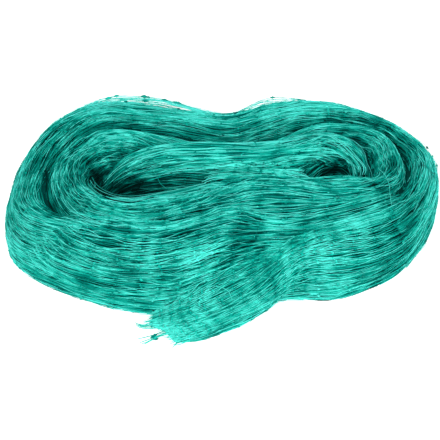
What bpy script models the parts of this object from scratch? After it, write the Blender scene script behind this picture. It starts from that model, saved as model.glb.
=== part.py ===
"""Folded bird netting: one length of fine knotted net, gathered into a thick rope of
parallel threads and wound into a flat oval hank, with its cut end let out in front.

Metres, +Z up. +X runs along the hank and -Y is the side with the loose end.
The origin is the middle of the underside of the box round the whole part.
"""

import math
from collections import namedtuple

import bmesh
import bpy
from mathutils import Vector

MM = 0.001

# How the net is wound.
RINGS_PER_STATION = 5      # cross-sections from one station of a winding to the next
SECTION_POINTS = 36        # points round one cross-section
FULLNESS = 2.2             # 2 gives round cross-sections, more gives squarer ones
BELOW_FLOOR = 18 * MM      # how far a winding bulges under the floor before it is cut flat

# The middle of the box round the whole part, measured from the hank's own middle.
BOX_CENTRE_X = 1.88 * MM
BOX_CENTRE_Y = -10.94 * MM

# How the cut end lies on the hank.
LOOSE_GAP = 0.4 * MM       # air between the loose end and the winding that it lies on
LOOSE_POINTS = 20          # points round one cross-section
LOOSE_FULLNESS = 1.9

# How the frayed locks narrow: the share of the way to the tip, and the share of the root's width.
LOCK_TAPER = ((0, 1), (0.45, 0.8), (0.8, 0.5), (1, 0.2))
LOCK_TIP_HEIGHT = 0.6      # height of a lock's tip, as a share of its root's
LOCK_SIDES = 4

# The block that cuts the underside flat.
FLOOR_THICKNESS = 30 * MM
FLOOR_REACH = 400 * MM

WOUND_COLOUR = (0.022, 0.42, 0.33, 1.0)
LOOSE_COLOUR = (0.03, 0.5, 0.4, 1.0)
NET_ROUGHNESS = 0.45

# One cross-section of a winding, in millimetres from the hank's middle: the plan position of
# its outer and inner edge, and the height of its crest above the floor.
Station = namedtuple("Station", "outer_x outer_y inner_x inner_y crest")

# One ridge pattern of a winding: how many ridges go round the section, how many steps they
# climb in one lap, half their height from valley to crest in millimetres, and where they start.
Ridge = namedtuple("Ridge", "count climb height start")

# The outer turns, anticlockwise from the right-hand end.
OUTER_TURNS = (
    Station(148, 6, 123, 6, 46),
    Station(138, -22, 113, -14, 47),
    Station(114, -52, 94, -32, 48),
    Station(77, -71, 68, -36, 50),
    Station(43, -71, 40, -34, 51),
    Station(0, -80, 0, -34, 52),
    Station(-45, -83, -42, -36, 52),
    Station(-88, -72, -80, -36, 50),
    Station(-123, -55, -104, -30, 48),
    Station(-144, -35, -115, -16, 47),
    Station(-142.5, -6, -116, 4, 46),
    Station(-137, 28, -109, 27, 46),
    Station(-119, 63, -93, 43, 47),
    Station(-85, 85, -74, 49, 48),
    Station(-45, 85, -42, 44, 47),
    Station(2, 71, 2, 37, 44),
    Station(36, 80, 30, 42, 46),
    Station(70, 82, 64, 54, 46),
    Station(102, 71, 90, 56, 45),
    Station(129, 51, 112, 44, 45),
    Station(146, 30, 123, 24, 45),
)
OUTER_RIDGES = (Ridge(7, 1, 1.1, 0.5), Ridge(5, -2, 0.9, 2.1), Ridge(3, 3, 0.8, 0.9))

# The inner turns, anticlockwise from the right-hand end.
INNER_TURNS = (
    Station(129, 4, 99, 6, 47),
    Station(119, -22, 96, 4, 49),
    Station(97, -47, 83, 6, 51),
    Station(52, -60, 50, 5, 52),
    Station(0, -64, 0, 0, 53),
    Station(-40, -66, -38, -11, 52),
    Station(-78, -60, -61, -14, 51),
    Station(-107, -41, -78, -11, 50),
    Station(-121, -10, -86, 0, 48),
    Station(-116, 21, -83, 12, 46),
    Station(-100, 44, -73, 20, 45),
    Station(-72, 53, -58, 21, 45),
    Station(-40, 50, -38, 14, 41),
    Station(0, 44, 0, 8, 36),
    Station(34, 48, 32, 16, 37),
    Station(66, 62, 62, 30, 43),
    Station(95, 60, 83, 32, 45),
    Station(117, 46, 96, 26, 46),
    Station(128, 26, 99, 16, 46),
)
INNER_RIDGES = (Ridge(7, -1, 1.3, 1.3), Ridge(4, 2, 1.2, 0.2))

# The innermost turn, from deep in the left eye, over the middle, and round the right eye.
CENTRE_TURN = (
    Station(-87, 15, -88, 4, 12),
    Station(-79, 21, -77, 5, 27),
    Station(-67, 28, -64, 4, 40),
    Station(-50, 34, -46, 2, 46),
    Station(-28, 38, -24, -5, 50),
    Station(4, 39, 3, -11, 51),
    Station(32, 42, 31, -11, 51),
    Station(56, 48, 53, -5, 51),
    Station(74, 47, 69, 13, 51),
    Station(89, 38, 80, 19, 50),
    Station(98, 22, 87, 15, 48),
    Station(100, 3, 90, 4, 45),
    Station(98, -12, 89, -8, 38),
)
CENTRE_RIDGES = (Ridge(8, 1, 1.2, 0.8), Ridge(3, -1, 1.0, 1.9))

# One cross-section of the loose end, in millimetres: its upper edge on the hank, its lower
# edge out in front, and how thick the gathered net is there.
Spread = namedtuple("Spread", "upper_x upper_y upper_z lower_x lower_y lower_z thick")

LOOSE_END = (
    Spread(53, -54, 40, 51, -66, 18, 8),
    Spread(45, -56, 45, 44, -67, 5, 12),
    Spread(36, -63, 45, 36, -72, 0.5, 14),
    Spread(22, -71, 41, 27, -80.3, 0, 15),
    Spread(6, -78, 34, 13.5, -90.5, 0, 14),
    Spread(-10, -83, 26, -1, -98.5, 0, 12),
    Spread(-26, -87, 17, -15, -105, 0.8, 9),
    Spread(-35, -91, 9.5, -26, -106, 1.4, 6),
)

# One lock of the cut edge, in millimetres: its root and tip on the floor plan, and its height
# and width at the root.
Lock = namedtuple("Lock", "root_x root_y tip_x tip_y height width")

LOCKS = (
    Lock(-29, -93, -57, -93, 6, 6),
    Lock(-30, -95, -50, -97, 4.5, 5.5),
    Lock(-27, -97, -54, -106, 3.4, 4.5),
    Lock(-25, -99, -39, -104.5, 3, 5.5),
    Lock(-22, -101, -33, -108, 2.6, 5.5),
    Lock(-17, -102, -27, -109.5, 2.4, 6),
)


def clear_scene():
    for thing in list(bpy.data.objects):
        bpy.data.objects.remove(thing)


def netting_material(name, colour):
    material = bpy.data.materials.new(name)
    material.use_nodes = True
    surface = material.node_tree.nodes["Principled BSDF"]
    surface.inputs["Base Color"].default_value = colour
    surface.inputs["Roughness"].default_value = NET_ROUGHNESS
    surface.inputs["Metallic"].default_value = 0.0
    return material


def through(rows, steps, closed):
    """Rows on a smooth curve through the given rows, steps of them from each row to the next."""
    kind = type(rows[0])
    count = len(rows)
    spans = count if closed else count - 1

    def row(i):
        return rows[i % count] if closed else rows[min(max(i, 0), count - 1)]

    made = []
    for span in range(spans):
        a, b, c, d = (row(span + k) for k in (-1, 0, 1, 2))
        for step in range(steps):
            t = step / steps
            made.append(kind(*(
                0.5 * (2 * q + (r - p) * t + (2 * p - 5 * q + 4 * r - s) * t * t
                       + (3 * q - p - 3 * r + s) * t * t * t)
                for p, q, r, s in zip(a, b, c, d)
            )))
    if not closed:
        made.append(rows[-1])
    return made


def rounded(angle, fullness):
    """Across and up, each from -1 to 1, on a rounded outline."""
    across, up = math.cos(angle), math.sin(angle)
    power = 2 / fullness
    return (math.copysign(abs(across) ** power, across),
            math.copysign(abs(up) ** power, up))


def ridge_rise(ridges, angle, lap):
    """How far the bundles stand out or in, in metres, at an angle round the section."""
    return MM * sum(
        ridge.height
        * (2 * abs(math.cos(ridge.count / 2 * angle + math.pi * ridge.climb * lap + ridge.start)) - 1)
        for ridge in ridges
    )


def section(station, lap, ridges, grow):
    """The points round one cross-section of a winding. lap is its share of the way along."""
    outer = Vector((station.outer_x, station.outer_y, 0)) * MM
    inner = Vector((station.inner_x, station.inner_y, 0)) * MM
    out = (outer - inner).normalized()
    half_width = (outer - inner).length / 2
    half_height = (station.crest * MM + BELOW_FLOOR) / 2
    middle = (outer + inner) / 2 + Vector((0, 0, half_height - BELOW_FLOOR))
    made = []
    for i in range(SECTION_POINTS):
        angle = 2 * math.pi * i / SECTION_POINTS
        across, up = rounded(angle, FULLNESS)
        rise = grow + ridge_rise(ridges, angle, lap)
        made.append(middle + out * (half_width + rise) * across
                    + Vector((0, 0, (half_height + rise) * up)))
    return made


def loft(name, sections, closed):
    """A closed body through the sections: a ring if closed, and otherwise with two end caps."""
    mesh = bpy.data.meshes.new(name)
    body = bmesh.new()
    loops = [[body.verts.new(p) for p in points] for points in sections]
    pairs = list(zip(loops, loops[1:]))
    if closed:
        pairs.append((loops[-1], loops[0]))
    for one, two in pairs:
        for i in range(len(one)):
            j = (i + 1) % len(one)
            body.faces.new((one[i], one[j], two[j], two[i]))
    if not closed:
        body.faces.new(loops[0])
        body.faces.new(loops[-1])
    bmesh.ops.recalc_face_normals(body, faces=body.faces)
    body.to_mesh(mesh)
    body.free()
    thing = bpy.data.objects.new(name, mesh)
    bpy.context.scene.collection.objects.link(thing)
    return thing


def winding(name, stations, ridges, closed, grow=0.0):
    rows = through(stations, RINGS_PER_STATION, closed)
    last = len(rows) if closed else len(rows) - 1
    sections = [section(row, i / last, ridges, grow) for i, row in enumerate(rows)]
    return loft(name, sections, closed)


def loose_section(spread):
    """The points round one cross-section of the loose end, which lies as a flattened bundle."""
    upper = Vector((spread.upper_x, spread.upper_y, spread.upper_z)) * MM
    lower = Vector((spread.lower_x, spread.lower_y, spread.lower_z)) * MM
    along = lower - upper
    half_width = along.length / 2
    along.normalize()
    lift = Vector((0, 0, 1)) - along * along.z
    lift.normalize()
    middle = (upper + lower) / 2
    made = []
    for i in range(LOOSE_POINTS):
        across, up = rounded(2 * math.pi * i / LOOSE_POINTS, LOOSE_FULLNESS)
        made.append(middle + along * half_width * across + lift * spread.thick / 2 * MM * up)
    return made


def lock_body(name, lock):
    """A tapering lock of threads, from inside the loose end to its tip."""
    root = Vector((lock.root_x, lock.root_y, lock.height)) * MM
    tip = Vector((lock.tip_x, lock.tip_y, LOCK_TIP_HEIGHT * lock.height)) * MM
    along = (tip - root).normalized()
    side = along.cross(Vector((0, 0, 1))).normalized()
    up = side.cross(along)
    sections = []
    for share, wide in LOCK_TAPER:
        centre = root.lerp(tip, share)
        half = lock.width / 2 * wide * MM
        high = lock.height / 2 * wide * MM
        sections.append([
            centre + side * half * math.cos(2 * math.pi * i / LOCK_SIDES)
            + up * high * math.sin(2 * math.pi * i / LOCK_SIDES)
            for i in range(LOCK_SIDES)
        ])
    return loft(name, sections, False)


def floor_cutter():
    bpy.ops.mesh.primitive_cube_add(size=1, location=(0, 0, -FLOOR_THICKNESS / 2))
    floor = bpy.context.object
    floor.name = "floor_cutter"
    floor.scale = (FLOOR_REACH, FLOOR_REACH, FLOOR_THICKNESS)
    return floor


def as_helper(thing):
    thing.hide_render = True
    thing.display_type = "WIRE"
    return thing


def combine(thing, other, operation):
    step = thing.modifiers.new(f"{operation.lower()}_{other.name}", "BOOLEAN")
    step.operation = operation
    step.solver = "MANIFOLD"
    step.object = as_helper(other)


def finish(thing, material):
    thing.data.materials.append(material)
    thing.data.shade_smooth()


def build_hank():
    hank = winding("hank", OUTER_TURNS, OUTER_RIDGES, True)
    combine(hank, winding("inner_turns", INNER_TURNS, INNER_RIDGES, True), "UNION")
    combine(hank, winding("centre_turn", CENTRE_TURN, CENTRE_RIDGES, False), "UNION")
    return hank


def build_loose_end():
    rows = through(LOOSE_END, RINGS_PER_STATION, False)
    loose = loft("loose_end", [loose_section(row) for row in rows], False)
    for number, lock in enumerate(LOCKS):
        combine(loose, lock_body(f"lock_{number}", lock), "UNION")
    for name, stations, ridges in (("outer_clearance", OUTER_TURNS, OUTER_RIDGES),
                                   ("inner_clearance", INNER_TURNS, INNER_RIDGES)):
        combine(loose, winding(name, stations, ridges, True, LOOSE_GAP), "DIFFERENCE")
    return loose


def main():
    clear_scene()
    box_middle = bpy.data.objects.new("box_middle", None)
    bpy.context.scene.collection.objects.link(box_middle)
    floor = floor_cutter()
    for thing, colour in ((build_hank(), WOUND_COLOUR), (build_loose_end(), LOOSE_COLOUR)):
        combine(thing, floor, "DIFFERENCE")
        finish(thing, netting_material(f"{thing.name}_netting", colour))
    for thing in bpy.data.objects:
        if thing is not box_middle:
            thing.parent = box_middle
    box_middle.location = (-BOX_CENTRE_X, -BOX_CENTRE_Y, 0)


main()
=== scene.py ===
import math

import bmesh
import bpy
import numpy as np
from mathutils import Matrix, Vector
from mathutils.bvhtree import BVHTree


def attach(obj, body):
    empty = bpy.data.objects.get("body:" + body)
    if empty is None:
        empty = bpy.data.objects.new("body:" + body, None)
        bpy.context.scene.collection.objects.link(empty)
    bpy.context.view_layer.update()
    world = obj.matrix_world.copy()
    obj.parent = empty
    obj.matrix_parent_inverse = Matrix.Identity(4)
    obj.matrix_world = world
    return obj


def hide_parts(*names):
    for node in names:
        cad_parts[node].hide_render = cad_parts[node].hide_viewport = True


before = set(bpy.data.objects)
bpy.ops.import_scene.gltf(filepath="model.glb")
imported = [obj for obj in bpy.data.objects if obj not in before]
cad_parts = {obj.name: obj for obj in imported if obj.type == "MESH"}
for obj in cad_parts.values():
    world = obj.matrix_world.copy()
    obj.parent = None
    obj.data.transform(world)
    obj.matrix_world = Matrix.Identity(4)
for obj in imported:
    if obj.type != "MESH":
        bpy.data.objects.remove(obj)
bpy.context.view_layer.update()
bpy.ops.object.select_all(action="DESELECT")

mm = 0.001
# The windings below are laid out from the hank's own middle; this brings them into the frame.
hankMiddle = np.array([-1.88, 10.94, 0.0])

# Camera, floor and light.

cameraSetup = {"target": (-0.00308, 0.01094, 0.0012), "elevation": 47.0, "lens": 100.0,
               "distance": 0.84944, "framePixels": 440, "sensor": 36.0}


def aimAt(thing, target):
    away = thing.location - Vector(target)
    thing.rotation_euler = away.to_track_quat("Z", "Y").to_euler()


def placeCamera(setup):
    tilt = math.radians(setup["elevation"])
    target = Vector(setup["target"])
    back = Vector((0, -math.cos(tilt), math.sin(tilt)))
    bpy.ops.object.camera_add(location=target + back * setup["distance"])
    camera = bpy.context.object
    camera.data.lens = setup["lens"]
    aimAt(camera, target)
    bpy.context.scene.camera = camera


placeCamera(cameraSetup)

studio = {"floorSize": 6.0, "floorTone": (0.93, 0.93, 0.93, 1), "floorRoughness": 0.9, "floorGlow": 0.6,
          "worldGlow": 0.35, "white": (1, 1, 1, 1), "lampAim": (0, 0, 0.02),
          "lamps": [  # name, place, size, watts
              ("keyLamp", (-0.35, -0.85, 0.95), 0.3, 10.0),
              ("topLamp", (0.2, 0.2, 1.2), 0.6, 4.0),
              ("sideLamp", (0.75, -0.7, 0.5), 0.4, 4.5)]}


def buildStudio(setup):
    bpy.ops.mesh.primitive_plane_add(size=setup["floorSize"], location=(0, 0, 0))
    floor = bpy.context.object
    floor.name = "studioFloor"
    paper = bpy.data.materials.new("studioPaper")
    paper.use_nodes = True
    shader = paper.node_tree.nodes["Principled BSDF"]
    shader.inputs["Base Color"].default_value = setup["floorTone"]
    shader.inputs["Roughness"].default_value = setup["floorRoughness"]
    shader.inputs["Emission Color"].default_value = setup["white"]
    shader.inputs["Emission Strength"].default_value = setup["floorGlow"]
    floor.data.materials.append(paper)
    for name, place, size, watts in setup["lamps"]:
        bpy.ops.object.light_add(type="AREA", location=place)
        lamp = bpy.context.object
        lamp.name = name
        lamp.data.size = size
        lamp.data.energy = watts
        aimAt(lamp, setup["lampAim"])
    world = bpy.data.worlds.new("studioWorld")
    world.use_nodes = True
    backdrop = world.node_tree.nodes["Background"]
    backdrop.inputs["Color"].default_value = setup["white"]
    backdrop.inputs["Strength"].default_value = setup["worldGlow"]
    bpy.context.scene.world = world
    bpy.context.scene.view_settings.view_transform = "Standard"


buildStudio(studio)
print("camera and studio ready")

# The windings, as the solids are wound. Each station is outer x, y, inner x, y and crest height in mm,
# and each ridge is how many go round, how far they climb in a lap, their height in mm and their start.
outerTurns = {
    "stations": [
        (148, 6, 123, 6, 46), (138, -22, 113, -14, 47), (114, -52, 94, -32, 48), (77, -71, 68, -36, 50),
        (43, -71, 40, -34, 51), (0, -80, 0, -34, 52), (-45, -83, -42, -36, 52), (-88, -72, -80, -36, 50),
        (-123, -55, -104, -30, 48), (-144, -35, -115, -16, 47), (-142.5, -6, -116, 4, 46),
        (-137, 28, -109, 27, 46), (-119, 63, -93, 43, 47), (-85, 85, -74, 49, 48), (-45, 85, -42, 44, 47),
        (2, 71, 2, 37, 44), (36, 80, 30, 42, 46), (70, 82, 64, 54, 46), (102, 71, 90, 56, 45),
        (129, 51, 112, 44, 45), (146, 30, 123, 24, 45)],
    "ridges": [(7, 1, 1.1, 0.5), (5, -2, 0.9, 2.1), (3, 3, 0.8, 0.9)],
    "closed": True, "strands": 280, "rows": 44, "twist": -40, "seed": 11}
innerTurns = {
    "stations": [
        (129, 4, 99, 6, 47), (119, -22, 96, 4, 49), (97, -47, 83, 6, 51), (52, -60, 50, 5, 52),
        (0, -64, 0, 0, 53), (-40, -66, -38, -11, 52), (-78, -60, -61, -14, 51), (-107, -41, -78, -11, 50),
        (-121, -10, -86, 0, 48), (-116, 21, -83, 12, 46), (-100, 44, -73, 20, 45), (-72, 53, -58, 21, 45),
        (-40, 50, -38, 14, 41), (0, 44, 0, 8, 36), (34, 48, 32, 16, 37), (66, 62, 62, 30, 43),
        (95, 60, 83, 32, 45), (117, 46, 96, 26, 46), (128, 26, 99, 16, 46)],
    "ridges": [(7, -1, 1.3, 1.3), (4, 2, 1.2, 0.2)],
    "closed": True, "strands": 294, "rows": 36, "twist": 42, "seed": 12}
centreTurn = {
    "stations": [
        (-87, 15, -88, 4, 12), (-79, 21, -77, 5, 27), (-67, 28, -64, 4, 40), (-50, 34, -46, 2, 46),
        (-28, 38, -24, -5, 50), (4, 39, 3, -11, 51), (32, 42, 31, -11, 51), (56, 48, 53, -5, 51),
        (74, 47, 69, 13, 51), (89, 38, 80, 19, 50), (98, 22, 87, 15, 48), (100, 3, 90, 4, 45),
        (98, -12, 89, -8, 38)],
    "ridges": [(8, 1, 1.2, 0.8), (3, -1, 1.0, 1.9)],
    "closed": False, "strands": 264, "rows": 15, "twist": -20, "seed": 13}
windingShape = {"fullness": 2.2, "belowFloor": 18.0, "ringsPerStation": 16, "sectionPoints": 160}
looseShape = {  # the cut end: upper edge x y z, lower edge x y z and thickness, all in mm
    "sections": [
        (53, -54, 40, 51, -66, 18, 8), (45, -56, 45, 44, -67, 5, 12), (36, -63, 45, 36, -72, 0.5, 14),
        (22, -71, 41, 27, -80.3, 0, 15), (6, -78, 34, 13.5, -90.5, 0, 14), (-10, -83, 26, -1, -98.5, 0, 12),
        (-26, -87, 17, -15, -105, 0.8, 9), (-35, -91, 9.5, -26, -106, 1.4, 6)],
    "fullness": 1.9, "ringsPerSection": 14, "sectionPoints": 160, "lowest": 0.5}


def unit(ways):
    return ways / (np.linalg.norm(ways, axis=-1, keepdims=True) + 1e-12)


def smoothRows(rows, steps, closed):
    # the same rounded curve through the stations as the solids follow
    rows = np.array(rows, float)
    count = len(rows)
    spans = count if closed else count - 1
    pick = (lambda i: rows[i % count]) if closed else (lambda i: rows[min(max(i, 0), count - 1)])
    made = []
    for span in range(spans):
        p, q, r, s = (pick(span + k) for k in (-1, 0, 1, 2))
        for step in range(steps):
            t = step / steps
            made.append(0.5 * (2 * q + (r - p) * t + (2 * p - 5 * q + 4 * r - s) * t * t
                               + (3 * q - p - 3 * r + s) * t ** 3))
    made.append(rows[0] if closed else rows[-1])
    return np.array(made)


def evenlyRound(rings):
    # rings of points, closed round, shared out again at even steps round each ring
    count = rings.shape[1]
    looped = np.concatenate([rings, rings[:, :1]], axis=1)
    steps = np.linalg.norm(np.diff(looped, axis=1), axis=2)
    reach = np.concatenate([np.zeros((len(rings), 1)), np.cumsum(steps, axis=1)], axis=1)
    made = np.empty_like(rings)
    for k, ring in enumerate(looped):
        want = np.linspace(0, reach[k, -1], count, endpoint=False)
        for axis in range(3):
            made[k, :, axis] = np.interp(want, reach[k], ring[:, axis])
    return made


def roundedSection(points, fullness):
    # across and up, each from -1 to 1, round a rounded outline
    angle = np.linspace(0, 2 * math.pi, points, endpoint=False)[None, :]
    power = 2 / fullness
    return (np.sign(np.cos(angle)) * np.abs(np.cos(angle)) ** power,
            np.sign(np.sin(angle)) * np.abs(np.sin(angle)) ** power, angle)


def windingPlaces(turns, shape):
    # a grid of places on a winding's skin: along it first, then round its section
    rows = smoothRows(turns["stations"], shape["ringsPerStation"], turns["closed"])
    lap = np.linspace(0, 1, len(rows))[:, None]
    across, up, angle = roundedSection(2 * shape["sectionPoints"], shape["fullness"])
    rise = sum(h * (2 * np.abs(np.cos(n / 2 * angle + math.pi * climb * lap + start)) - 1)
               for n, climb, h, start in turns["ridges"])
    outer = np.c_[rows[:, 0:2], np.zeros(len(rows))]
    inner = np.c_[rows[:, 2:4], np.zeros(len(rows))]
    out = outer - inner
    halfWidth = np.linalg.norm(out, axis=1, keepdims=True) / 2
    out = out / (2 * halfWidth)
    halfHeight = (rows[:, 4:5] + shape["belowFloor"]) / 2
    middle = (outer + inner) / 2
    places = (middle[:, None, :] + out[:, None, :] * ((halfWidth + rise) * across)[:, :, None])
    places[:, :, 2] += halfHeight - shape["belowFloor"] + (halfHeight + rise) * up
    return evenlyRound(places)[:, ::2] + hankMiddle


def loosePlaces(shape):
    # the same for the cut end
    rows = smoothRows(shape["sections"], shape["ringsPerSection"], False)
    upper, lower, thick = rows[:, 0:3], rows[:, 3:6], rows[:, 6:7]
    halfWidth = np.linalg.norm(lower - upper, axis=1, keepdims=True) / 2
    along = (lower - upper) / (2 * halfWidth)
    lift = unit(np.array([0, 0, 1.0]) - along * along[:, 2:3])
    across, up, _ = roundedSection(2 * shape["sectionPoints"], shape["fullness"])
    places = ((upper + lower)[:, None, :] / 2 + along[:, None, :] * (halfWidth * across)[:, :, None]
              + lift[:, None, :] * (thick / 2 * up)[:, :, None])
    places = evenlyRound(places)[:, ::2] + hankMiddle
    places[:, :, 2] = np.maximum(places[:, :, 2], shape["lowest"])
    return places


# Skins are grids of places that the net lies on.
skySetup = {"every": 6, "rings": [(12, 3), (35, 6), (58, 8)],  # tilt of each ring of rays, and how many
            "lift": 1.2, "reach": 250.0}  # in mm


def blurred(values, axis):
    steps = np.arange(values.shape[axis])
    before = np.take(values, np.maximum(steps - 1, 0), axis)
    after = np.take(values, np.minimum(steps + 1, len(steps) - 1), axis)
    return (before + 2 * values + after) / 4


def readGrid(grid, lap, share, wraps):
    # values of a grid at any place along (0 to 1) and across or round (0 to 1)
    rows, columns = grid.shape[0] - 1, grid.shape[1] - (0 if wraps else 1)
    x = np.clip(lap, 0, 1) * rows
    y = (share % 1.0 if wraps else np.clip(share, 0, 1)) * columns
    i, j = np.minimum(x.astype(int), rows - 1), np.minimum(y.astype(int), columns - 1)
    s, t = (x - i)[..., None], (y - j)[..., None]
    k = (j + 1) % grid.shape[1]
    return ((grid[i, j] * (1 - t) + grid[i, k] * t) * (1 - s)
            + (grid[i + 1, j] * (1 - t) + grid[i + 1, k] * t) * s)


def outwardOf(places, closed, wraps, facing=None):
    # unit directions out of a grid's skin, away from its middle or towards a place that faces it
    along = np.gradient(places, axis=0)
    if closed:
        along[0] = along[-1] = places[1] - places[-2]
    across = (np.roll(places, -1, axis=1) - np.roll(places, 1, axis=1) if wraps
              else np.gradient(places, axis=1))
    out = unit(np.cross(along, across))
    away = places - places.mean(axis=1, keepdims=True) if facing is None else facing - places
    return out if np.sum(out * away) > 0 else -out


def openSky(places, out, solids, setup):
    # how much of what a skin faces is open, from 0 to 1
    rows, columns = (np.unique(np.r_[np.arange(0, count, setup["every"]), count - 1])
                     for count in places.shape[:2])
    rays = [(math.radians(tilt), 2 * math.pi * (k + 0.5) / count)
            for tilt, count in setup["rings"] for k in range(count)]
    seen = np.zeros((len(rows), len(columns), 1))
    for a, i in enumerate(rows):
        for b, j in enumerate(columns):
            up = Vector(out[i, j])
            side = up.orthogonal().normalized()
            front = up.cross(side)
            start = Vector((places[i, j] + out[i, j] * setup["lift"]) * mm)
            free = 0
            for tilt, turn in rays:
                ray = (up * math.cos(tilt) + side * (math.sin(tilt) * math.cos(turn))
                       + front * (math.sin(tilt) * math.sin(turn)))
                free += all(tree.ray_cast(start, ray, setup["reach"] * mm)[0] is None for tree in solids)
            seen[a, b, 0] = free / len(rays)
    return seen


def makeSkin(places, out, solids, closed=False, wraps=False, sink=(0, 0, 0)):
    # sink is how far the net dives at the start, the end and the sides, in mm
    length = np.linalg.norm(np.diff(places.mean(axis=1), axis=0), axis=1).sum()
    edges = np.roll(places, -1, axis=1) - places if wraps else np.diff(places, axis=1)
    return {"places": places, "out": out, "sky": openSky(places, out, solids, skySetup),
            "length": length, "width": np.linalg.norm(edges, axis=2).sum(axis=1).mean(),
            "closed": closed, "wraps": wraps, "sink": sink}


def windingSkin(turns, solids):
    places = windingPlaces(turns, windingShape)
    return makeSkin(places, outwardOf(places, turns["closed"], True), solids, turns["closed"], True)


def solidTree(node):
    body = bmesh.new()
    body.from_mesh(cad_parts[node].data)
    bmesh.ops.remove_doubles(body, verts=body.verts, dist=1e-6)
    tree = BVHTree.FromBMesh(body)
    body.free()
    return tree


def sightLines(pixels, setup):
    # the camera's place in mm and the way through each pixel of the square frame
    tilt = math.radians(setup["elevation"])
    back = np.array([0, -math.cos(tilt), math.sin(tilt)])
    up = np.array([0, math.sin(tilt), math.cos(tilt)])
    start = (np.array(setup["target"]) + back * setup["distance"]) / mm
    reach = setup["lens"] / setup["sensor"] * setup["framePixels"]
    half = setup["framePixels"] / 2
    ways = (np.array([1.0, 0, 0]) * (pixels[..., 0:1] - half) / reach
            + up * (half - pixels[..., 1:2]) / reach - back)
    return start, unit(ways)


eyePlace = sightLines(np.zeros((1, 2)), cameraSetup)[0]
floorRest = 0.45  # how high the lowest threads lie, in mm


def drape(pixels, trees, bridges=0, limit=6.0, proud=0.0, rest=1.2, soften=4):
    # lays pixels on what is seen there, or on the floor, with the furrows between turns bridged
    pixels = np.array(pixels, float)
    start, ways = sightLines(pixels, cameraSetup)
    origin = Vector(start * mm)
    reach = (rest - start[2]) / ways[..., 2]
    for index in np.ndindex(reach.shape):
        way = Vector(ways[index])
        for tree in trees:
            hit = tree.ray_cast(origin, way)
            if hit[0] is not None:
                reach[index] = min(reach[index], hit[3] / mm)
    found = reach.copy()
    for _ in range(bridges):
        soft = reach
        for axis in range(reach.ndim):
            soft = blurred(soft, axis)
        reach = np.maximum(np.minimum(reach, soft), found - limit)
    for _ in range(soften):
        for axis in range(reach.ndim):
            reach = blurred(reach, axis)
    places = start + ways * (reach - proud)[..., None]
    places[..., 2] = np.maximum(places[..., 2], floorRest)
    return places


def coverSkin(cover, trees, solids):
    # a skin through rows of pixels, draped over the solids
    guides = np.array(cover["guides"], float)
    count, points = guides.shape[:2]
    along = smoothRows(guides.transpose(1, 0, 2).reshape(points, -1), cover["stepsAlong"], False)
    grid = smoothRows(along.reshape(-1, count, 2).transpose(1, 0, 2).reshape(count, -1),
                      cover["stepsAcross"], False)
    grid = grid.reshape(len(grid), -1, 2).transpose(1, 0, 2)
    places = drape(grid, trees, cover["bridges"], cover["limit"], cover["proud"])
    return makeSkin(places, outwardOf(places, False, False, eyePlace), solids, sink=cover["sink"])


def coverTree(skin, dive=20, brim=8):
    # a cover's inner part, within dive of its ends and brim of its sides, all in mm
    rows, columns = skin["places"].shape[:2]
    start, end = (1 + (round(dive / skin["length"] * rows) if sink else 0) for sink in skin["sink"][:2])
    side = 1 + round(brim / skin["width"] * columns)
    inner = skin["places"][start:rows - end, side:columns - side]
    number = np.arange(inner.shape[0] * inner.shape[1]).reshape(inner.shape[:2])
    faces = np.stack([number[:-1, :-1], number[1:, :-1], number[1:, 1:], number[:-1, 1:]], 2)
    return BVHTree.FromPolygons([Vector(place * mm) for place in inner.reshape(-1, 3)],
                                faces.reshape(-1, 4).tolist())


def depthUnder(tree, places, keep):
    # millimetres under the skin of the solid (negative outside), only where keep is true
    depth = np.full(places.shape[:-1], np.inf)
    for index in zip(*np.nonzero(keep)):
        place = Vector(places[index] * mm)
        near, normal, _, distance = tree.find_nearest(place)
        inside = (place - near).dot(normal) < 0
        depth[index] = distance / mm * (1 if inside else -1)
    return depth


def hiddenUnder(covers, places, keep, above=1.5, below=14.0):
    # true where a place is close under a cover, or just over it
    hidden = np.zeros(keep.shape, bool)
    for index in zip(*np.nonzero(keep)):
        way = unit(eyePlace - places[index])
        origin, way = Vector((places[index] - way * above) * mm), Vector(way)
        hidden[index] = any(tree.ray_cast(origin, way, (above + below) * mm)[0] is not None
                            for tree in covers)
    return hidden


# How threads and knots become meshes.
def buildMesh(name, places, faces, faceSizes, mapPlaces, tone):
    mesh = bpy.data.meshes.new(name)
    mesh.vertices.add(len(places))
    mesh.vertices.foreach_set("co", (places * mm).astype(np.float32).ravel())
    mesh.loops.add(len(faces))
    mesh.loops.foreach_set("vertex_index", faces.astype(np.int32))
    mesh.polygons.add(len(faceSizes))
    starts = np.concatenate([[0], np.cumsum(faceSizes)[:-1]])
    mesh.polygons.foreach_set("loop_start", starts.astype(np.int32))
    mesh.update(calc_edges=True)
    mesh.polygons.foreach_set("use_smooth", np.ones(len(faceSizes), bool))
    layer = mesh.uv_layers.new(name="OFBake", do_init=False)
    layer.uv.foreach_set("vector", mapPlaces.astype(np.float32).ravel())
    shade = mesh.attributes.new("threadTone", "FLOAT", "POINT")
    shade.data.foreach_set("value", tone.astype(np.float32))
    thing = bpy.data.objects.new(name, mesh)
    bpy.context.scene.collection.objects.link(thing)
    return thing


def finishPiece(thing, finish):
    thing.data.materials.append(finish)
    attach(thing, "root")
    return thing


threadSides = 3
mapStrip = (0.1, 0.8)  # where each thread starts across its share of the map, and how much that fills


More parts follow.
